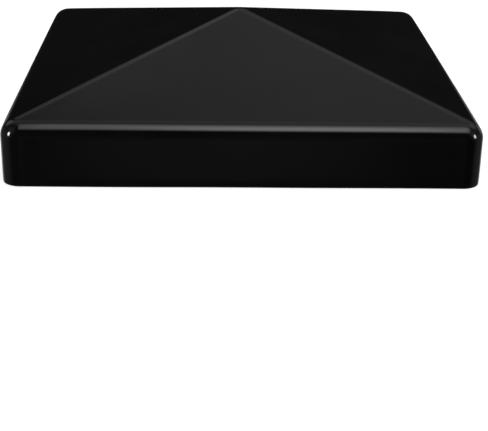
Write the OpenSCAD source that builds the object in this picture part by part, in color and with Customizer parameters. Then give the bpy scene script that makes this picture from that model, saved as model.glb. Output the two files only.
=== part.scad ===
// Pyramid fence post cap, pressed from one steel sheet, with its four side screws
// and their rubber sealing washers. Origin at the centre of the open bottom rim, +Z up.

/* [Post] */
// Width of the square post that the cap covers
post_w = 140; // [120:1:160]
// Gap between the post and the skirt, on each side
post_gap = 1.5; // [1:0.25:3]

/* [Cap] */
// Thickness of the pressed sheet
sheet_t = 1.5; // [1:0.1:2]
// Height of the skirt, up to the line where it would meet the slopes
skirt_h = 19; // [18:0.5:26]
// Rise of the pyramid above that line, to its sharp tip
rise = 19; // [14:0.5:30]
// Outside radius of the upright corners, seen from above
corner_r = 6; // [5.5:0.25:8]
// Outside radius of the bend between the skirt and the slopes
eave_r = 5.5; // [4:0.25:5.5]
// Outside radius of the rounded tip
tip_r = 10; // [6:0.5:14]

/* [Fixing screws] */
// Height of the screw holes above the rim
screw_z = 7.5; // [6.5:0.25:7.75]
// Distance from the middle of a side to each of its two screws
screw_y = 36.5; // [20:0.5:50]
// Outside diameter of the screw thread
thread_d = 3.5; // [3:0.1:4]
// Length of the screw under its head
screw_l = 20; // [16:1:30]
// Diameter of the pan head
head_d = 6.9; // [6.5:0.1:8]
// Height of the pan head
head_h = 2.4; // [2:0.1:2.8]
// Clearance between the thread and the hole in the skirt, on the radius
hole_gap = 0.35; // [0.2:0.05:0.6]

/* [Sealing washers] */
// Outside diameter of a washer
washer_d = 10; // [9:0.5:11]
// Thickness of a washer
washer_t = 1; // [0.8:0.1:1.5]
// Clearance between the washer and the thread, on the radius
washer_gap = 0.05; // [0.02:0.01:0.1]

/* [Hidden] */
$fn = 48;
SOFT_FN = 32; // roundness of the parts of a hull
CUT = 1; // how far a cutting shape runs past what it cuts

cap_w = post_w + 2 * post_gap + 2 * sheet_t;
half_w = cap_w / 2;
slope_a = atan(rise / half_w);
// Height of the eave bend's centre line, where the flat of the skirt ends
eave_z = skirt_h - eave_r / cos(slope_a) + eave_r * tan(slope_a);
// Height of the tip sphere's centre, so that the slopes touch the sphere
tip_z = skirt_h + rise - tip_r / cos(slope_a);

// Screw dimensions that follow from the head, the thread and the wall
seat_x = half_w + washer_t;          // plane under the head
neck_l = washer_t + sheet_t + 0.5;   // plain neck, through the washer and the wall
neck_r = thread_d / 2 - 0.25;        // radius of the plain neck
point_l = 1.2 * thread_d;            // length of the screw's cone point
head_rim_h = 0.9;                    // straight edge of the pan head
head_top_r = 0.26 * head_d;          // radius of the flat top of the pan head
recess_w = 3.6;                      // width of the cross recess
recess_t = 0.8;                      // thickness of each arm of the cross recess
recess_l = 1.4;                      // depth of the cross recess

// One rounded eave corner: a ring of the bend's profile, round the upright corner
module eave_corner(inset) {
    rotate_extrude($fn = SOFT_FN)
        translate([corner_r - eave_r, 0])
            intersection() {
                circle(r = eave_r - inset, $fn = SOFT_FN);
                translate([0, -eave_r]) square(2 * eave_r);
            }
}

// The cap's outer form, shrunk by inset on every face, standing on foot
module cap_form(inset, foot) {
    corner = half_w - corner_r;
    hull() {
        for (x = [-corner, corner], y = [-corner, corner]) {
            translate([x, y, foot])
                cylinder(r = corner_r - inset, h = eave_z - foot, $fn = SOFT_FN);
            translate([x, y, eave_z]) eave_corner(inset);
        }
        translate([0, 0, tip_z]) sphere(r = tip_r - inset, $fn = SOFT_FN);
    }
}

// Places its children, drawn pointing out along +X, at one screw position
module at_screw(side, end) {
    translate([0, end * screw_y, screw_z])
        rotate([0, 0, side > 0 ? 0 : 180])
            children();
}

module cap_shell() {
    color("#141414")
        difference() {
            cap_form(0, 0);
            cap_form(sheet_t, -CUT);
            for (side = [-1, 1], end = [-1, 1])
                at_screw(side, end)
                    translate([half_w - sheet_t - CUT, 0, 0])
                        rotate([0, 90, 0])
                            cylinder(r = thread_d / 2 + hole_gap, h = sheet_t + 2 * CUT);
        }
}

// Rubber washer between the screw head and the skirt
module sealing_washer() {
    color("#1c1c1c")
        translate([half_w, 0, 0])
            rotate([0, 90, 0])
                difference() {
                    cylinder(r = washer_d / 2, h = washer_t);
                    translate([0, 0, -CUT])
                        cylinder(r = thread_d / 2 + washer_gap, h = washer_t + 2 * CUT);
                }
}

// Half section of a pan-head screw, from its point up to the top of its head
module screw_section() {
    thread_r = thread_d / 2;
    head_r = head_d / 2;
    polygon([
        [0, -screw_l],
        [thread_r, -screw_l + point_l],
        [thread_r, -neck_l],
        [neck_r, -neck_l],
        [neck_r, 0],
        [head_r, 0],
        [head_r, head_rim_h],
        [0.9 * head_r, head_rim_h + 0.5 * (head_h - head_rim_h)],
        [head_top_r, head_h],
        [0, head_h]
    ]);
}

// Pan-head screw, its head resting on the washer and its point inside the cap
module fixing_screw() {
    color("#202022")
        translate([seat_x, 0, 0])
            rotate([0, 90, 0])
                difference() {
                    rotate_extrude() screw_section();
                    for (turn = [0, 90])
                        rotate([0, 0, turn])
                            translate([-recess_w / 2, -recess_t / 2, head_h - recess_l])
                                cube([recess_w, recess_t, recess_l + CUT]);
                }
}

cap_shell();
at_screw(1, -1) fixing_screw();  // screw_right_front
at_screw(1, 1) fixing_screw();  // screw_right_rear
at_screw(-1, -1) fixing_screw();  // screw_left_front
at_screw(-1, 1) fixing_screw();  // screw_left_rear
at_screw(1, -1) sealing_washer();  // washer_right_front
at_screw(1, 1) sealing_washer();  // washer_right_rear
at_screw(-1, -1) sealing_washer();  // washer_left_front
at_screw(-1, 1) sealing_washer();  // washer_left_rear
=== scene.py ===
import math
import bmesh
import bpy
from mathutils import Matrix, Vector


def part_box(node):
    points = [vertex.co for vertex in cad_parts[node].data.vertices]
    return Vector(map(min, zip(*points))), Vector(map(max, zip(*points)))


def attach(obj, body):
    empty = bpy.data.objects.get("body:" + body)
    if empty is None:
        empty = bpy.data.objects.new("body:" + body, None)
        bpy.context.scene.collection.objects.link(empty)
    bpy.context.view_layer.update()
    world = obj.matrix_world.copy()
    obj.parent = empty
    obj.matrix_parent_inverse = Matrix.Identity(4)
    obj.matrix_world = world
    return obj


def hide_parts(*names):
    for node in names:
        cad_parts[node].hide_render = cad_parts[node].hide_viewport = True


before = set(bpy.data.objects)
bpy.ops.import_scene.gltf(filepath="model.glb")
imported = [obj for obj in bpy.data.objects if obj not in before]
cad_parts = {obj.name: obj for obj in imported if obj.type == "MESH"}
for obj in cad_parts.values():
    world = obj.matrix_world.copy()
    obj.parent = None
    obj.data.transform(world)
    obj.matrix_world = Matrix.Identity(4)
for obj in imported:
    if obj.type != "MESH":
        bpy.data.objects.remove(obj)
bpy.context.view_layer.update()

MM = 0.001

# The pressed shell, as the CAD has it
SHEET_T = 1.5 * MM
SKIRT_H = 19 * MM  # up to the line where the skirt and the slopes would meet
RISE = 19 * MM
CORNER_R = 6 * MM
EAVE_R = 5.5 * MM
TIP_R = 10 * MM
HOLE_R = 2.1 * MM
HALF_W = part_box("cap_shell")[1].x
STRAIGHT = HALF_W - CORNER_R  # half the flat width of a side
SLOPE = math.atan2(RISE, HALF_W)
EAVE_Z = SKIRT_H - EAVE_R / math.cos(SLOPE) + EAVE_R * math.tan(SLOPE)
TIP_Z = SKIRT_H + RISE - TIP_R / math.cos(SLOPE)
RIM_R = 0.35 * MM  # rounding of the trimmed edge under its paint
HIP_SPREAD = 0.4 * MM  # how much wider the corners' rounding is at the foot of the slopes

# The screws and their washers
THREAD_R = 1.75 * MM
ROOT_R = 1.2 * MM
PITCH = 1.4 * MM
SCREW_L = 20 * MM
POINT_L = 4.2 * MM
POINT_R = 0.12 * MM  # how blunt the point is
THREAD_START = -SCREW_L + 0.1 * MM  # just above the point
NECK_L = 3.0 * MM
NECK_R = 1.5 * MM
RUN_OUT = 0.8 * PITCH  # length over which the thread fades out at the neck
HEAD_R = 3.45 * MM
HEAD_H = 2.4 * MM
HEAD_RIM_H = 0.9 * MM  # straight edge of the head
CROWN_R = 1.35 * MM  # flat top of the head
RECESS_L = 1.5 * MM
WASHER_R = 5.0 * MM
WASHER_T = 1.0 * MM
WASHER_HOLE_R = 1.8 * MM
SOFT_R = 0.15 * MM  # softened edges of the holes and the heads
EDGE_STEPS = 4  # along each small rounded edge

# Each screw's place, and the angle at which its cross recess came to rest
PLACES = {"right_front": 12, "right_rear": 57, "left_front": -31, "left_rear": 78}


# ------------------------------------------------------------------ materials


def new_material(name):
    """An empty material, and a short way to add a node with its links and values."""
    mat = bpy.data.materials.new(name)
    mat.use_nodes = True
    tree = mat.node_tree
    tree.nodes.clear()

    def add(kind, links, **values):
        node = tree.nodes.new(kind)
        for key, value in values.items():
            node.inputs[key.replace("_", " ")].default_value = value
        for key, source in links.items():
            tree.links.new(source, node.inputs[key])
        return node

    return mat, add


def noise(add, coords, size, detail=2.0):
    """A soft pattern from 0 to 1 whose blobs are about size across."""
    return add("ShaderNodeTexNoise", {"Vector": coords}, Scale=1 / size, Detail=detail).outputs["Fac"]


def between(add, pattern, low, high, start, end):
    """Turns a pattern's stretch from low to high into a value from start to end."""
    node = add(
        "ShaderNodeMapRange", {"Value": pattern}, From_Min=low, From_Max=high, To_Min=start, To_Max=end
    )
    return node.outputs["Result"]


def blend_colours(add, pattern, first, second):
    """A colour from first to second, by a pattern from 0 to 1. Each is a colour or a node's output."""
    node = add("ShaderNodeMix", {})
    node.data_type = "RGBA"
    tree = node.id_data
    tree.links.new(pattern, node.inputs["Factor"])
    sockets = [socket for socket in node.inputs if socket.type == "RGBA"]
    for socket, colour in zip(sockets, (first, second)):
        if isinstance(colour, tuple):
            socket.default_value = (*colour, 1)
        else:
            tree.links.new(colour, socket)
    return next(socket for socket in node.outputs if socket.type == "RGBA")


def relief(add, pattern, depth, below=None):
    """The normal of a surface that a pattern raises by depth, over the relief below it."""
    links = {"Height": pattern}
    if below:
        links["Normal"] = below
    return add("ShaderNodeBump", links, Strength=1, Distance=depth).outputs["Normal"]


def complete(mat, add, colour, roughness, normal):
    """Completes a material with one glossy shader."""
    links = {"Base Color": colour, "Roughness": roughness, "Normal": normal}
    shader = add("ShaderNodeBsdfPrincipled", links)
    add("ShaderNodeOutputMaterial", {"Surface": shader.outputs["BSDF"]})
    return mat


def grey(value):
    """A grey, from 0 to 1."""
    return (value, value, value)


def clouded(add, coords, size, dark, light, roughness):
    """A colour and a roughness that drift together over clouds of a size."""
    cloud = between(add, noise(add, coords, size), 0.35, 0.65, 0, 1)
    return blend_colours(add, cloud, dark, light), between(add, cloud, 0, 1, *roughness)


def powder_coat():
    """Gloss black powder coat: orange peel, a fine grain and rare dust nibs, thin on the trimmed rim."""
    mat, add = new_material("black_powder_coat")
    coords = add("ShaderNodeTexCoord", {}).outputs["Object"]
    colour, roughness = clouded(
        add, coords, size=30 * MM, dark=grey(0.003), light=grey(0.005), roughness=(0.10, 0.15)
    )
    height = add("ShaderNodeSeparateXYZ", {"Vector": coords}).outputs["Z"]
    thin = between(add, height, 0.1 * MM, 0.5 * MM, 1, 0)
    thin_coat = (0.022, 0.021, 0.020)
    colour = blend_colours(add, thin, colour, thin_coat)
    normal = relief(add, noise(add, coords, 1.6 * MM, detail=1), 0.003 * MM)
    normal = relief(add, noise(add, coords, 0.27 * MM, detail=1), 0.0003 * MM, normal)
    from_nib = add("ShaderNodeTexVoronoi", {"Vector": coords}, Scale=1 / (10 * MM)).outputs["Distance"]
    normal = relief(add, between(add, from_nib, 0, 0.022, 1, 0), 0.006 * MM, normal)
    return complete(mat, add, colour, roughness, normal)


def inner_coat():
    """The inside of the cap: a thin dry coat that hardly covers the draw lines of the pressing."""
    mat, add = new_material("thin_inner_coat")
    coords = add("ShaderNodeTexCoord", {}).outputs["Object"]
    colour, roughness = clouded(
        add, coords, size=22 * MM, dark=grey(0.010), light=grey(0.028), roughness=(0.38, 0.6)
    )
    stretched = add("ShaderNodeVectorMath", {0: coords})
    stretched.operation = "MULTIPLY"
    stretched.inputs[1].default_value = (1, 1, 0.08)
    lines = noise(add, stretched.outputs["Vector"], 0.9 * MM, detail=3)
    normal = relief(add, lines, 0.02 * MM)
    normal = relief(add, noise(add, coords, 0.35 * MM), 0.012 * MM, normal)
    return complete(mat, add, colour, roughness, normal)


def coating(name, dark, light, roughness, grain_size, grain_depth):
    """A plain surface with drifting tone and gloss, and a coarse and a fine grain."""
    mat, add = new_material(name)
    coords = add("ShaderNodeTexCoord", {}).outputs["Object"]
    colour, rough = clouded(add, coords, 4 * MM, dark, light, roughness)
    normal = relief(add, noise(add, coords, grain_size, detail=1), grain_depth)
    normal = relief(add, noise(add, coords, grain_size / 6, detail=1), grain_depth / 10, normal)
    return complete(mat, add, colour, rough, normal)


# ---------------------------------------------------------------- mesh helpers


def object_from(bm, name, materials, sharp_angle=40):
    """A new object from a bmesh: normals outward, smooth, with sharp edges past an angle in degrees."""
    bmesh.ops.remove_doubles(bm, verts=bm.verts, dist=1e-6)
    bmesh.ops.recalc_face_normals(bm, faces=bm.faces)
    mesh = bpy.data.meshes.new(name)
    bm.to_mesh(mesh)
    bm.free()
    mesh.shade_smooth()
    mesh.set_sharp_from_angle(angle=math.radians(sharp_angle))
    for material in materials:
        mesh.materials.append(material)
    obj = bpy.data.objects.new(name, mesh)
    bpy.context.scene.collection.objects.link(obj)
    return obj


def join_rings(bm, rings, material=0):
    """Quads between each closed ring of vertices and the next, with a material's number."""
    for low, high in zip(rings, rings[1:]):
        for i in range(len(low)):
            j = (i + 1) % len(low)
            bm.faces.new((low[i], low[j], high[j], high[i])).material_index = material


def lathe(bm, outline, steps):
    """Turns an outline of (radius, height) points about Z. A radius of 0 closes an end in one point."""
    turns = [2 * math.pi * i / steps for i in range(steps)]
    rings = []
    for radius, height in outline:
        if radius == 0:
            rings.append([bm.verts.new((0, 0, height))] * steps)
        else:
            points = [(radius * math.cos(turn), radius * math.sin(turn), height) for turn in turns]
            rings.append([bm.verts.new(point) for point in points])
    for low, high in zip(rings, rings[1:]):
        for i in range(steps):
            j = (i + 1) % steps
            corners = dict.fromkeys((low[i], low[j], high[j], high[i]))
            bm.faces.new(tuple(corners))


def arc(centre, radius, start, end, steps):
    """Points of a round stretch, as (across, up), with its angles in degrees."""
    angles = [math.radians(start + (end - start) * i / steps) for i in range(steps + 1)]
    return [(centre[0] + radius * math.cos(a), centre[1] + radius * math.sin(a)) for a in angles]


def apply_modifiers(obj):
    """Makes the object's modified mesh its own mesh."""
    graph = bpy.context.evaluated_depsgraph_get()
    made = bpy.data.meshes.new_from_object(obj.evaluated_get(graph))
    obj.modifiers.clear()
    obj.data = made


def cut(obj, cutters):
    """Takes the cutters' volume out of obj, then removes the cutters."""
    for cutter in cutters:
        difference = obj.modifiers.new("cut", "BOOLEAN")
        difference.operation = "DIFFERENCE"
        difference.solver = "EXACT"
        difference.object = cutter
    apply_modifiers(obj)
    for cutter in cutters:
        bpy.data.objects.remove(cutter)


def outward(node, from_middle):
    """Where something drawn along +Z goes, to stand at a node and point out of that side of the cap."""
    low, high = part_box(node)
    centre = (low + high) / 2
    side = math.copysign(1, centre.x)
    place = Matrix.Translation((side * from_middle, centre.y, centre.z))
    return place @ Matrix.Rotation(side * math.pi / 2, 4, "Y")


# ------------------------------------------------------------------- the shell

SIDE_STEPS = 48
CORNER_STEPS = 10
SKIRT_STEPS = 8
BEND_STEPS = 14
SLOPE_STEPS = 20
TIP_STEPS = 6
HOLE_STEPS = 40

# Marks of the pressing, which set the real sheet off from the ideal form
FLARE = 0.15 * MM  # mean flare of the corners at the rim
FLARE_CHANGE = 0.1 * MM  # from corner to corner
FLARE_H = 4 * MM  # the flare and the edge's wave fade over this height
EDGE_WAVE = 0.08 * MM
TURNED_IN = 0.14 * MM  # the trimmed rim
TURNED_IN_H = 1.6 * MM
DRAWN_IN = 0.06 * MM  # the walls beside the corners
DRAWN_IN_W = 2 * MM
DROOP = 0.25 * MM  # the corners of the eave


def ring(half_w, straight, z):
    """One level of the shell: a square with rounded corners, or a circle where straight is 0."""
    angles = [math.pi * (i / SIDE_STEPS - 0.5) for i in range(SIDE_STEPS + 1)]
    quarter = [(half_w, straight * math.sin(angle)) for angle in angles]
    quarter += arc((straight, straight), half_w - straight, 0, 90, CORNER_STEPS)[1:-1]
    turns = [Matrix.Rotation(math.pi / 2 * side, 3, "Z") for side in range(4)]
    return [turn @ Vector((*point, z)) for turn in turns for point in quarter]


def skin_levels(inset):
    """One skin of the sheet, from the rim to the tip, as (half width, half flat width, height)."""
    heights = [RIM_R + (EAVE_Z - RIM_R) * i / SKIRT_STEPS for i in range(SKIRT_STEPS)]
    levels = [(HALF_W - inset, STRAIGHT, z) for z in heights]
    bend = arc((HALF_W - EAVE_R, EAVE_Z), EAVE_R - inset, 0, 90 - math.degrees(SLOPE), BEND_STEPS)
    for step, (half_w, z) in enumerate(bend):
        levels.append((half_w, STRAIGHT - HIP_SPREAD * (step / BEND_STEPS) ** 2, z))
    ball = arc((0, TIP_Z), TIP_R - inset, 90 - math.degrees(SLOPE), 90, TIP_STEPS)
    foot = Vector(levels[-1])
    top = Vector((ball[0][0], 0, ball[0][1]))
    levels += [tuple(foot.lerp(top, i / SLOPE_STEPS)) for i in range(1, SLOPE_STEPS)]
    return levels + [(radius, 0, z) for radius, z in ball[:-1]]


def rim_levels():
    """The trimmed edge, from the inner skin to the outer one."""
    inner = arc((HALF_W - SHEET_T + RIM_R, RIM_R), RIM_R, 180, 270, EDGE_STEPS)[1:]
    outer = arc((HALF_W - RIM_R, RIM_R), RIM_R, 270, 360, EDGE_STEPS)[:-1]
    return [(half_w, STRAIGHT, z) for half_w, z in inner + outer]


def press_marks(point):
    """How far the real sheet lies from the ideal form: the corners droop a little and flare where the
    draw ended, the sides are drawn in beside them, and the rim turns in a hair and isn't quite level."""
    x, y, z = point
    corner = min(abs(x * y) / HALF_W**2, 1) ** 6
    from_corner = min(abs(x), abs(y)) - STRAIGHT
    beside = math.exp(-(((from_corner + DRAWN_IN_W) / DRAWN_IN_W) ** 2) / 2)
    wall = math.exp(-max(z - EAVE_Z, 0) / DRAWN_IN_W)
    near_rim = math.exp(-z / FLARE_H)
    out = (FLARE + FLARE_CHANGE * math.sin(1.5 + 2 * x / HALF_W - y / HALF_W)) * corner * near_rim
    out -= TURNED_IN * math.exp(-z / TURNED_IN_H)
    out -= DRAWN_IN * beside * wall
    up = EDGE_WAVE * math.sin(72 * x + 25 * y) * math.sin(45 * y - 31 * x + 0.6) * near_rim
    up -= DROOP * corner * min(z / EAVE_Z, 1) ** 4
    return Vector((x, y, 0)).normalized() * out + Vector((0, 0, up))


def hole_cutter(place):
    """A plug for one screw hole, wider at both ends so that it leaves softened edges."""
    wide = HOLE_R + 4 * SOFT_R
    outline = [
        (0, -SHEET_T - 3 * SOFT_R),
        (wide, -SHEET_T - 3 * SOFT_R),
        *arc((HOLE_R + SOFT_R, -SHEET_T + SOFT_R), SOFT_R, 270, 180, EDGE_STEPS),
        *arc((HOLE_R + SOFT_R, -SOFT_R), SOFT_R, 180, 90, EDGE_STEPS),
        (wide, 3 * SOFT_R),
        (0, 3 * SOFT_R),
    ]
    bm = bmesh.new()
    lathe(bm, outline, HOLE_STEPS)
    cutter = object_from(bm, "cutter", [])
    cutter.data.transform(outward("washer_" + place, HALF_W))
    return cutter


def make_shell(outside, inside):
    """The whole cap: one pressed sheet with two skins, a rounded rim and four screw holes."""
    bm = bmesh.new()
    levels = skin_levels(SHEET_T)[::-1] + rim_levels() + skin_levels(0)
    rings = [[bm.verts.new(point) for point in ring(*level)] for level in levels]
    skin = len(skin_levels(0))
    join_rings(bm, rings[:skin], material=1)
    join_rings(bm, rings[skin - 1 :])
    for edge, inset, material in ((rings[0], SHEET_T, 1), (rings[-1], 0, 0)):
        pole = bm.verts.new((0, 0, TIP_Z + TIP_R - inset))
        for i, vert in enumerate(edge):
            bm.faces.new((vert, edge[(i + 1) % len(edge)], pole)).material_index = material
    for vert in bm.verts:
        vert.co += press_marks(vert.co)
    shell = object_from(bm, "pressed_cap", [outside, inside])
    cut(shell, [hole_cutter(place) for place in PLACES])
    shell.modifiers.new("even_normals", "WEIGHTED_NORMAL").keep_sharp = True
    apply_modifiers(shell)
    return shell


# ------------------------------------------------------- the screws and washers

TURN_STEPS = 28
DOME_STEPS = 8
CONE_STEPS = 16
WASHER_STEPS = 48
WASHER_EDGE_STEPS = 10
# The thread's form along one pitch, as (share of the pitch, share of the thread's depth)
THREAD_FORM = [(0.0, 0), (0.18, 0.04), (0.3, 0.3), (0.46, 0.96), (0.54, 0.96), (0.7, 0.3), (0.82, 0.04)]


def shank_radius(z, depth_share):
    """Radius of the threaded shank at a height below the head, for a share of the thread's depth."""
    from_point = min((z + SCREW_L) / POINT_L, 1)
    full_thread = min(max((-NECK_L - z) / RUN_OUT, 0), 1)
    core = POINT_R + (ROOT_R - POINT_R) * from_point**0.8
    core += (NECK_R - ROOT_R) * (1 - full_thread)
    depth = (THREAD_R - ROOT_R) * min(1.25 * from_point, 1) * full_thread
    return core + depth * depth_share


def thread_rings(bm):
    """The threaded shank as a helical net: each row follows the thread, and both ends are cut flat."""
    start, end = THREAD_START, -NECK_L
    rows = []
    turns = math.ceil((end - start) / PITCH) + 1
    for turn in range(-1, turns):
        for share, depth in THREAD_FORM:
            row = []
            for i in range(TURN_STEPS):
                z = start + (turn + share + i / TURN_STEPS) * PITCH
                z = min(max(z, start), end)
                angle = 2 * math.pi * i / TURN_STEPS
                radius = shank_radius(z, depth if start < z < end else 0)
                row.append(bm.verts.new((radius * math.cos(angle), radius * math.sin(angle), z)))
            rows.append(row)
    step = len(THREAD_FORM)
    for low, high, wrapped_low, wrapped_high in zip(rows, rows[1:], rows[step:], rows[step + 1 :]):
        for i in range(TURN_STEPS - 1):
            bm.faces.new((low[i], low[i + 1], high[i + 1], high[i]))
        bm.faces.new((low[-1], wrapped_low[0], wrapped_high[0], high[-1]))


def recess_cutters():
    """The cross recess: two tapered blades, and a cone that ends in the point of the recess."""
    cutters = []
    top, bottom = HEAD_H + 0.3 * MM, HEAD_H - RECESS_L
    for turn in (0, math.pi / 2):
        bm = bmesh.new()
        rings = []
        for z, length, width in ((bottom, 0.75 * MM, 0.26 * MM), (top, 2.0 * MM, 0.46 * MM)):
            corners = [(-length, -width), (length, -width), (length, width), (-length, width)]
            rings.append([bm.verts.new((x, y, z)) for x, y in corners])
        join_rings(bm, rings)
        for edge in rings:
            bm.faces.new(edge)
        blade = object_from(bm, "cutter", [])
        blade.data.transform(Matrix.Rotation(turn, 4, "Z"))
        cutters.append(blade)
    bm = bmesh.new()
    lathe(bm, [(0, bottom - 0.45 * MM), (0.5 * MM, bottom), (1.1 * MM, top), (0, top)], CONE_STEPS)
    cutters.append(object_from(bm, "cutter", []))
    return cutters


def make_screw(place, turned, material):
    """A pan-head screw with a rolled thread and a cross recess, at its place in the cap's side."""
    bm = bmesh.new()
    thread_rings(bm)
    head = [
        (NECK_R, -NECK_L),
        (NECK_R, -SOFT_R),
        (NECK_R + SOFT_R, 0),
        (HEAD_R - SOFT_R, 0),
        (HEAD_R, SOFT_R),
        (HEAD_R, HEAD_RIM_H),
    ]
    for i in range(1, DOME_STEPS + 1):
        angle = math.pi / 2 * i / DOME_STEPS
        across = CROWN_R + (HEAD_R - CROWN_R) * math.cos(angle)
        head.append((across, HEAD_RIM_H + (HEAD_H - HEAD_RIM_H) * math.sin(angle)))
    head.append((0, HEAD_H))
    lathe(bm, head, TURN_STEPS)
    lathe(bm, [(0, -SCREW_L), (shank_radius(THREAD_START, 0), THREAD_START)], TURN_STEPS)
    screw = object_from(bm, "pan_screw_" + place, [material], sharp_angle=35)
    cut(screw, recess_cutters())
    screw.data.transform(Matrix.Rotation(math.radians(turned), 4, "Z"))
    screw.data.transform(outward("screw_" + place, HALF_W + WASHER_T))
    return screw


def make_washer(place, material):
    """A rubber washer, squeezed flat under the head and swollen round it."""
    edge_r = WASHER_T / 2 - 0.02 * MM
    chamfer = 0.1 * MM
    outline = [
        (WASHER_HOLE_R, chamfer),
        (WASHER_HOLE_R + chamfer, 0),
        (WASHER_R - edge_r, 0),
        *arc((WASHER_R - edge_r, edge_r), edge_r, 270, 450, WASHER_EDGE_STEPS)[1:],
        (4.4 * MM, WASHER_T + 0.06 * MM),
        (4.0 * MM, WASHER_T + 0.09 * MM),
        (3.7 * MM, WASHER_T + 0.06 * MM),
        (3.5 * MM, WASHER_T),
        (WASHER_HOLE_R + chamfer, WASHER_T),
        (WASHER_HOLE_R, WASHER_T - chamfer),
        (WASHER_HOLE_R, chamfer),
    ]
    bm = bmesh.new()
    lathe(bm, outline, WASHER_STEPS)
    washer = object_from(bm, "seal_" + place, [material])
    washer.data.transform(outward("washer_" + place, HALF_W))
    return washer


# ---------------------------------------------------------- camera and lighting


def make_camera():
    """The product shot's camera: a long lens, from the front and above. Its angles are in radians."""
    place = Vector((-9.87, -408.1, 137.0)) * MM
    yaw, pitch, roll = 0.0311, 0.4107, 0.0175
    ahead = Vector((math.sin(yaw) * math.cos(pitch), math.cos(yaw) * math.cos(pitch), -math.sin(pitch)))
    right = ahead.cross(Vector((0, 0, 1))).normalized()
    up = right.cross(ahead)
    across = right * math.cos(roll) + up * math.sin(roll)
    upward = up * math.cos(roll) - right * math.sin(roll)
    cam = bpy.data.objects.new("camera", bpy.data.cameras.new("camera"))
    cam.matrix_world = Matrix.Translation(place) @ Matrix((across, upward, -ahead)).transposed().to_4x4()
    cam.data.lens = 88.2
    cam.data.clip_start = 10 * MM
    bpy.context.scene.collection.objects.link(cam)
    bpy.context.scene.camera = cam


STUDIO_R = 1.2  # from the cap to each soft box


def towards(azimuth, elevation):
    """Unit vector to a place round the cap: azimuth 0 is in front and 90 to the right, in degrees."""
    a, e = math.radians(azimuth), math.radians(elevation)
    return Vector((math.sin(a) * math.cos(e), -math.cos(a) * math.cos(e), math.sin(e)))


def ramp(tree, value, start, end, level=1.0):
    """A smooth change from 0 to level as a value goes from start to end."""
    fade = tree.nodes.new("ShaderNodeMapRange")
    fade.interpolation_type = "SMOOTHSTEP"
    fade.inputs["From Min"].default_value = start
    fade.inputs["From Max"].default_value = end
    fade.inputs["To Max"].default_value = level
    tree.links.new(value, fade.inputs["Value"])
    return fade.outputs["Result"]


def arithmetic(tree, operation, first, second):
    """A sum, product or other result of two node outputs, or of an output and a number."""
    node = tree.nodes.new("ShaderNodeMath")
    node.operation = operation
    tree.links.new(first, node.inputs[0])
    if isinstance(second, (int, float)):
        node.inputs[1].default_value = second
    else:
        tree.links.new(second, node.inputs[1])
    return node.outputs[0]


EVEN_FADES = (0.3, 0.3, 0.3, 0.3)


def soft_box(
    name, azimuth, elevation, width, height, level, fades=EVEN_FADES, shift=0.0, roll=0.0, diffuse=True
):
    """A soft box in a place round the cap, moved to the right by shift and turned by roll in degrees.
    The fades are the shares of its size over which it grows to its full level, from the left, the
    right, the bottom and the top. Without diffuse, it shows only in the gloss."""
    data = bpy.data.lights.new(name, "AREA")
    data.shape = "RECTANGLE"
    data.size, data.size_y = width, height
    data.energy = math.pi * width * height
    data.use_nodes = True
    tree = data.node_tree
    place = tree.nodes.new("ShaderNodeNewGeometry").outputs["Parametric"]
    split = tree.nodes.new("ShaderNodeSeparateXYZ")
    tree.links.new(place, split.inputs[0])
    across, upward = split.outputs["X"], split.outputs["Y"]
    left, right, bottom, top = fades
    strength = ramp(tree, across, 0, left, level)
    for share in (
        ramp(tree, across, 1, 1 - right),
        ramp(tree, upward, 0, bottom),
        ramp(tree, upward, 1, 1 - top),
    ):
        strength = arithmetic(tree, "MULTIPLY", strength, share)
    tree.links.new(strength, tree.nodes["Emission"].inputs["Strength"])
    lamp = bpy.data.objects.new(name, data)
    away = towards(azimuth, elevation)
    facing = away.to_track_quat("Z", "Y")
    lamp.location = away * STUDIO_R + facing @ Vector((shift, 0, 0))
    lamp.rotation_euler = (facing.to_matrix() @ Matrix.Rotation(math.radians(roll), 3, "Z")).to_euler()
    lamp.visible_camera = False
    lamp.visible_diffuse = diffuse
    bpy.context.scene.collection.objects.link(lamp)


# The studio's soft patches of light: azimuth, elevation, angles to where the light is full and where
# it ends, all in degrees, and its level
STUDIO_PATCHES = [
    (155, 50, 5, 38, 0.25),  # backdrop behind the cap
    (-169, 34, 3, 13, 0.22),  # gaps at both sides of the backdrop
    (169, 33, 3, 12, 0.04),
    (180, 80, 12, 31, 0.25),  # ceiling
    (-131, 33, 4, 16, 0.5),  # reflectors behind the cap
    (-134, 52, 6, 18, 0.25),
    (131, 9, 4, 16, 0.5),
    (118, 46, 6, 20, 0.3),
    (-60, 38, 8, 22, 0.14),  # reflectors in front of the cap, above the side lights
    (60, 36, 8, 22, 0.14),
    (-90, 30, 20, 60, 0.08),  # side walls
    (90, 30, 20, 60, 0.08),
    (-28, 0, 30, 58, 0.035),  # front wall
    (0.5, -18, 4, 10, 0.058),  # table edge in front, and the wall above it
    (0.5, -2, 4, 16, 0.03),
    (-95, -20, 10, 45, 0.11),  # table at the sides and behind
    (95, -20, 10, 40, 0.11),
    (-145, -15, 8, 20, 0.5),
    (145, -15, 8, 20, 0.5),
    (0, -90, 25, 60, 0.8),  # floor
]
STUDIO_DARK = 0.012  # level everywhere else


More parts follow.
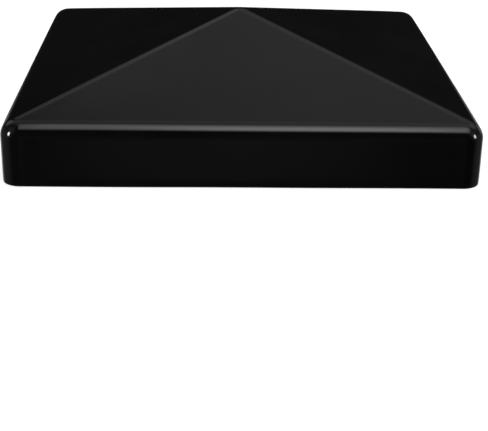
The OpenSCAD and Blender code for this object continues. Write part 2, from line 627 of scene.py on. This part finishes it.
def make_world():
    """A dim studio with a few soft patches of light, that the camera sees as white."""
    world = bpy.data.worlds.new("studio")
    bpy.context.scene.world = world
    world.use_nodes = True
    tree = world.node_tree
    tree.nodes.clear()
    direction = tree.nodes.new("ShaderNodeTexCoord").outputs["Generated"]
    total = None
    for azimuth, elevation, full, dark, level in STUDIO_PATCHES:
        dot = tree.nodes.new("ShaderNodeVectorMath")
        dot.operation = "DOT_PRODUCT"
        dot.inputs[1].default_value = towards(azimuth, elevation)
        tree.links.new(direction, dot.inputs[0])
        edges = (math.cos(math.radians(dark)), math.cos(math.radians(full)))
        patch = ramp(tree, dot.outputs["Value"], *edges, level)
        total = arithmetic(tree, "ADD", patch, total or STUDIO_DARK)
    studio = tree.nodes.new("ShaderNodeBackground")
    tree.links.new(total, studio.inputs["Strength"])
    studio.inputs["Color"].default_value = (1, 1, 1, 1)
    white = tree.nodes.new("ShaderNodeBackground")
    white.inputs["Color"].default_value = (1, 1, 1, 1)
    path = tree.nodes.new("ShaderNodeLightPath")
    mix = tree.nodes.new("ShaderNodeMixShader")
    tree.links.new(path.outputs["Is Camera Ray"], mix.inputs["Fac"])
    tree.links.new(studio.outputs[0], mix.inputs[1])
    tree.links.new(white.outputs[0], mix.inputs[2])
    out = tree.nodes.new("ShaderNodeOutputWorld")
    tree.links.new(mix.outputs[0], out.inputs["Surface"])


FLOOR_SIZE = 4  # half of its width
FLOOR_DROP = 0.1 * MM  # how far it lies below the rim
PAINTED_SHADE_HALF_W = HALF_W - 2.5 * SHEET_T  # half width of the painted shade under the cap, a square where the floor has no glow, which the walls hide


def make_floor():
    """A plain pale floor that glows. It is whiter far away, with painted light that makes up for the
    lamps' falloff, and dark under the cap, with painted shade. It is open from below. The cap doesn't
    reflect it, and it blocks no light."""
    mat, add = new_material("floor")
    tree = mat.node_tree
    place = add("ShaderNodeTexCoord", {}).outputs["Object"]
    split = add("ShaderNodeSeparateXYZ", {"Vector": place})
    sides = [arithmetic(tree, "ABSOLUTE", split.outputs[axis], 0) for axis in "XY"]
    square = arithmetic(tree, "MAXIMUM", *sides)
    # painted shade: the floor has no glow in a square under the cap, where no light gets in
    outside_painted_shade = arithmetic(tree, "GREATER_THAN", square, PAINTED_SHADE_HALF_W)
    # painted light: the floor's glow rises away from the cap, where the soft boxes' light falls off
    painted_glow = between(add, square, low=0.3, high=1.2, start=0.78, end=1.0)
    shader = add(
        "ShaderNodeBsdfPrincipled",
        {"Emission Strength": arithmetic(tree, "MULTIPLY", painted_glow, outside_painted_shade)},
        Base_Color=(0.7, 0.7, 0.7, 1),
        Roughness=1.0,
        Emission_Color=(1, 1, 1, 1),
    )
    from_below = add("ShaderNodeNewGeometry", {}).outputs["Backfacing"]
    mix = add("ShaderNodeMixShader", {"Fac": from_below, 1: shader.outputs["BSDF"]})
    tree.links.new(add("ShaderNodeBsdfTransparent", {}).outputs["BSDF"], mix.inputs[2])
    add("ShaderNodeOutputMaterial", {"Surface": mix.outputs[0]})
    bm = bmesh.new()
    bmesh.ops.create_grid(bm, x_segments=1, y_segments=1, size=FLOOR_SIZE)
    floor = object_from(bm, "floor", [mat])
    floor.location.z = -FLOOR_DROP
    floor.visible_glossy = False
    floor.visible_diffuse = False
    floor.visible_shadow = False


# --------------------------------------------------------------------- assembly

screw_black = coating(
    "black_screw_steel",
    dark=grey(0.006),
    light=grey(0.012),
    roughness=(0.3, 0.45),
    grain_size=0.5 * MM,
    grain_depth=0.006 * MM,
)
rubber = coating(
    "black_rubber",
    dark=grey(0.010),
    light=grey(0.018),
    roughness=(0.6, 0.8),
    grain_size=0.3 * MM,
    grain_depth=0.01 * MM,
)

shell = make_shell(powder_coat(), inner_coat())
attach(shell, "cap")
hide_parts("cap_shell")

for place, turned in PLACES.items():
    washer = make_washer(place, rubber)
    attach(washer, "washer_" + place)
    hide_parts("washer_" + place)
    screw = make_screw(place, turned, screw_black)
    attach(screw, "screw_" + place)
    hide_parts("screw_" + place)

make_floor()
make_world()
soft_box(
    "key",
    azimuth=3,
    elevation=71,
    width=1.19,
    height=1.22,
    level=1.75,
    fades=(0.05, 0.36, 0.33, 0.5),
    shift=0.27,
    roll=-4,
)
soft_box(
    "key_core",
    azimuth=3,
    elevation=64,
    width=0.56,
    height=0.86,
    level=1.8,
    fades=(0.41, 0.36, 0.36, 0.5),
    shift=0.08,
)
soft_box("left_light", azimuth=-64, elevation=15, width=0.3, height=0.42, level=30, diffuse=False)
soft_box("right_light", azimuth=64, elevation=17, width=0.29, height=0.42, level=18, diffuse=False)
make_camera()
bpy.context.scene.view_settings.view_transform = "Standard"
